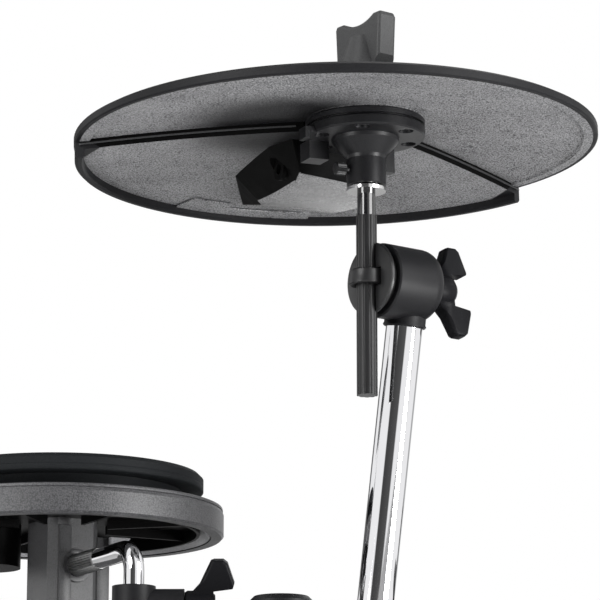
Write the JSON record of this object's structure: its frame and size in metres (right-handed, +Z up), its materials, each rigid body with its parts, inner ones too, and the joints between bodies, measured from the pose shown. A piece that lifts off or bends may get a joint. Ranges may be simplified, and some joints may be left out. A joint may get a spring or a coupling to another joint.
{
  "type": "electronic drum kit",
  "caption": "Electronic drum kit: rubber cymbal pads on tilting rods and drum pads on bent rods, clamped to a chrome tube rack with a sound module and pedals.",
  "frame": {"origin": "centre of the kit's plan at floor level", "axes": "+Z up, +Y from the audience towards the player, +X to the audience's right"},
  "size_m": [1.3846, 0.7168, 1.0007],
  "materials": {
    "chrome_tube": "polished chrome plate",
    "clamp_black": "satin moulded plastic",
    "foot_rubber": "matt rubber",
    "steel": "plain steel",
    "rod_black": "black gloss plate",
    "pad_rubber": "satin rubber",
    "pad_shell": "pebble-grained moulding",
    "drum_shell": "satin grey moulding",
    "nylon_white": "nylon",
    "felt_black": "felt",
    "jack_metal": "nickel plate",
    "piezo_brass": "bare brass",
    "case_black": "fine-grained moulding",
    "board_green": "circuit board",
    "screen_black": "clear gloss window",
    "knob_black": "satin plastic",
    "button_grey": "satin plastic"
  },
  "bodies": {
    "rack": {"rack_posts": "chrome_tube", "rack_bars": "chrome_tube", "corner_clamps": "clamp_black", "corner_bolts": "steel", "rubber_feet": "foot_rubber", "post_caps": "clamp_black", "rod_clamps": "clamp_black", "clamp_screws": "clamp_black", "module_case": "case_black", "module_bottom": "case_black", "module_board": "board_green", "module_screen": "screen_black", "module_bracket": "chrome_tube", "pedal_bases": "clamp_black"},
    "crash_arm": {"crash_arm_tube": "chrome_tube", "crash_tilter": "clamp_black"},
    "crash_tilter_nut": {"crash_tilter_nut": "clamp_black"},
    "crash_grip": {"crash_eye_bolt": "rod_black", "crash_grip_disc": "clamp_black"},
    "crash_rod": {"crash_rod": "rod_black", "crash_seat": "nylon_white", "crash_felt": "felt_black"},
    "crash_top_nut": {"crash_top_nut": "clamp_black"},
    "crash_pad": {"crash_cover": "pad_rubber", "crash_base": "pad_shell", "crash_tray": "pad_shell", "crash_pod": "pad_shell", "crash_jack": "jack_metal", "crash_plate": "pad_shell", "crash_cup": "pad_shell", "crash_thumb_screw": "steel", "crash_piezo": "piezo_brass", "crash_plate_screws": "steel"},
    "tom1_rod": {"tom1_rod": "chrome_tube"},
    "tom1_pad": {"tom1_head": "pad_rubber", "tom1_sensor": "steel", "tom1_shell": "drum_shell", "tom1_jack": "jack_metal", "tom1_block": "clamp_black"},
    "tom1_block_screw": {"tom1_block_screw": "clamp_black"},
    "tom1_clamp_screw": {"tom1_clamp_screw": "clamp_black"},
    "hihat_arm": {"hihat_arm": "chrome_tube"},
    "hihat_rod": {"hihat_rod": "rod_black"},
    "hihat_pad": {"hihat_pad": "pad_shell"},
    "ride_arm": {"ride_arm": "chrome_tube"},
    "ride_rod": {"ride_rod": "rod_black"},
    "ride_pad": {"ride_pad": "pad_shell"},
    "tom2_rod": {"tom2_rod": "chrome_tube"},
    "tom2_pad": {"tom2_pad": "drum_shell"},
    "snare_rod": {"snare_rod": "chrome_tube"},
    "snare_pad": {"snare_pad": "drum_shell"},
    "tom3_rod": {"tom3_rod": "chrome_tube"},
    "tom3_pad": {"tom3_pad": "drum_shell"},
    "module_dial": {"module_dial": "knob_black"},
    "module_volume": {"module_volume": "knob_black"},
    "module_button_1": {"module_button_1": "button_grey"},
    "module_button_2": {"module_button_2": "button_grey"},
    "module_button_3": {"module_button_3": "button_grey"},
    "kick_board": {"kick_board": "pad_rubber"},
    "hihat_board": {"hihat_board": "pad_rubber"}
  },
  "joints": [
    {"name": "crash_arm_height", "type": "slide", "parent": "rack", "child": "crash_arm", "axis": [0.1063, -0.1417, 0.9842], "range_m": [-0.04, 0.05]},
    {"name": "crash_tilt", "type": "hinge", "parent": "crash_arm", "child": "crash_grip", "pos_m": [0.35037, -0.21557, 0.84023], "axis": [0.8, 0.6, 0], "range_deg": [-20, 25]},
    {"name": "crash_rod_height", "type": "slide", "parent": "crash_grip", "child": "crash_rod", "axis": [0, 0, 1], "range_m": [-0.02, 0.03]},
    {"name": "crash_rock", "type": "hinge", "parent": "crash_rod", "child": "crash_pad", "pos_m": [0.32477, -0.23477, 0.90423], "axis": [0.9056, 0.4236, 0.0209], "range_deg": [-5, 5]},
    {"name": "crash_top_nut_turn", "type": "hinge", "parent": "crash_rod", "child": "crash_top_nut", "pos_m": [0.32477, -0.23477, 0.96763], "axis": [0, 0, 1], "continuous": true},
    {"name": "crash_tilter_nut_turn", "type": "hinge", "parent": "crash_arm", "child": "crash_tilter_nut", "pos_m": [0.36557, -0.20417, 0.84023], "axis": [0.8, 0.6, 0], "continuous": true},
    {"name": "ride_arm_height", "type": "slide", "parent": "rack", "child": "ride_arm", "axis": [-0.1063, -0.1417, 0.9842], "range_m": [-0.06, 0.05]},
    {"name": "ride_tilt", "type": "hinge", "parent": "ride_arm", "child": "ride_rod", "pos_m": [-0.38412, -0.18548, 0.80086], "axis": [0.8, -0.6, 0], "range_deg": [-18, 20]},
    {"name": "ride_rock", "type": "hinge", "parent": "ride_rod", "child": "ride_pad", "pos_m": [-0.40972, -0.16628, 0.86486], "axis": [0.6603, -0.7508, 0.0209], "range_deg": [-5, 5]},
    {"name": "hihat_arm_height", "type": "slide", "parent": "rack", "child": "hihat_arm", "axis": [0.1063, -0.1417, 0.9842], "range_m": [0, 0.04]},
    {"name": "hihat_tilt", "type": "hinge", "parent": "hihat_arm", "child": "hihat_rod", "pos_m": [0.57558, 0.01532, 0.56466], "axis": [0.8, 0.6, 0], "range_deg": [-6, 20]},
    {"name": "hihat_rock", "type": "hinge", "parent": "hihat_rod", "child": "hihat_pad", "pos_m": [0.54998, -0.00388, 0.62866], "axis": [0.9056, 0.4236, 0.0209], "range_deg": [-5, 5]},
    {"name": "tom1_swivel", "type": "hinge", "parent": "rack", "child": "tom1_rod", "pos_m": [0.18658, -0.19261, 0.685], "axis": [0, 0, 1], "range_deg": [-25, 25]},
    {"name": "tom1_tilt", "type": "hinge", "parent": "tom1_rod", "child": "tom1_pad", "pos_m": [0.13648, -0.10148, 0.685], "axis": [-0.4818, 0.8763, 0], "range_deg": [-18, 18]},
    {"name": "tom2_swivel", "type": "hinge", "parent": "rack", "child": "tom2_rod", "pos_m": [-0.09742, -0.19261, 0.685], "axis": [0, 0, 1], "range_deg": [-20, 20]},
    {"name": "tom2_tilt", "type": "hinge", "parent": "tom2_rod", "child": "tom2_pad", "pos_m": [-0.14752, -0.10148, 0.685], "axis": [-0.4818, 0.8763, 0], "range_deg": [-15, 15]},
    {"name": "snare_swivel", "type": "hinge", "parent": "rack", "child": "snare_rod", "pos_m": [0.40408, -0.08601, 0.545], "axis": [0, 0, 1], "range_deg": [-20, 0]},
    {"name": "snare_tilt", "type": "hinge", "parent": "snare_rod", "child": "snare_pad", "pos_m": [0.24918, -0.01597, 0.545], "axis": [-0.9112, 0.412, 0], "range_deg": [-6, 10]},
    {"name": "tom3_swivel", "type": "hinge", "parent": "rack", "child": "tom3_rod", "pos_m": [-0.42152, -0.07701, 0.545], "axis": [0, 0, 1], "range_deg": [-15, 15]},
    {"name": "tom3_tilt", "type": "hinge", "parent": "tom3_rod", "child": "tom3_pad", "pos_m": [-0.40046, 0.0715, 0.545], "axis": [0.1404, 0.9901, 0], "range_deg": [-10, 10]},
    {"name": "tom1_block_screw_turn", "type": "hinge", "parent": "tom1_pad", "child": "tom1_block_screw", "pos_m": [0.13648, -0.10148, 0.643], "axis": [0, 0, 1], "continuous": true},
    {"name": "tom1_clamp_screw_turn", "type": "hinge", "parent": "rack", "child": "tom1_clamp_screw", "pos_m": [0.21658, -0.19261, 0.65], "axis": [1, 0, 0], "continuous": true},
    {"name": "module_dial_turn", "type": "hinge", "parent": "rack", "child": "module_dial", "pos_m": [-0.50637, 0.03485, 0.76664], "axis": [0.318, 0.4239, 0.848], "continuous": true},
    {"name": "module_volume_turn", "type": "hinge", "parent": "rack", "child": "module_volume", "pos_m": [-0.51043, -0.01723, 0.7942], "axis": [0.318, 0.4239, 0.848], "range_deg": [-140, 140]},
    {"name": "module_button_1_press", "type": "slide", "parent": "rack", "child": "module_button_1", "axis": [0.318, 0.4239, 0.848], "range_m": [-0.0015, 0], "stiffness_N_per_m": 400, "springref_m": 0.0008},
    {"name": "module_button_2_press", "type": "slide", "parent": "rack", "child": "module_button_2", "axis": [0.318, 0.4239, 0.848], "range_m": [-0.0015, 0], "stiffness_N_per_m": 400, "springref_m": 0.0008},
    {"name": "module_button_3_press", "type": "slide", "parent": "rack", "child": "module_button_3", "axis": [0.318, 0.4239, 0.848], "range_m": [-0.0015, 0], "stiffness_N_per_m": 400, "springref_m": 0.0008},
    {"name": "kick_board_press", "type": "hinge", "parent": "rack", "child": "kick_board", "pos_m": [-0.00272, 0.12239, 0.02], "axis": [1, 0, 0], "range_deg": [0, 8.5], "stiffness_Nm_per_rad": 8, "springref_deg": -11.46},
    {"name": "hihat_board_press", "type": "hinge", "parent": "rack", "child": "hihat_board", "pos_m": [0.434, 0.32503, 0.02], "axis": [0.9397, -0.342, 0], "range_deg": [0, 8.5], "stiffness_Nm_per_rad": 8, "springref_deg": -11.46}
  ]
}
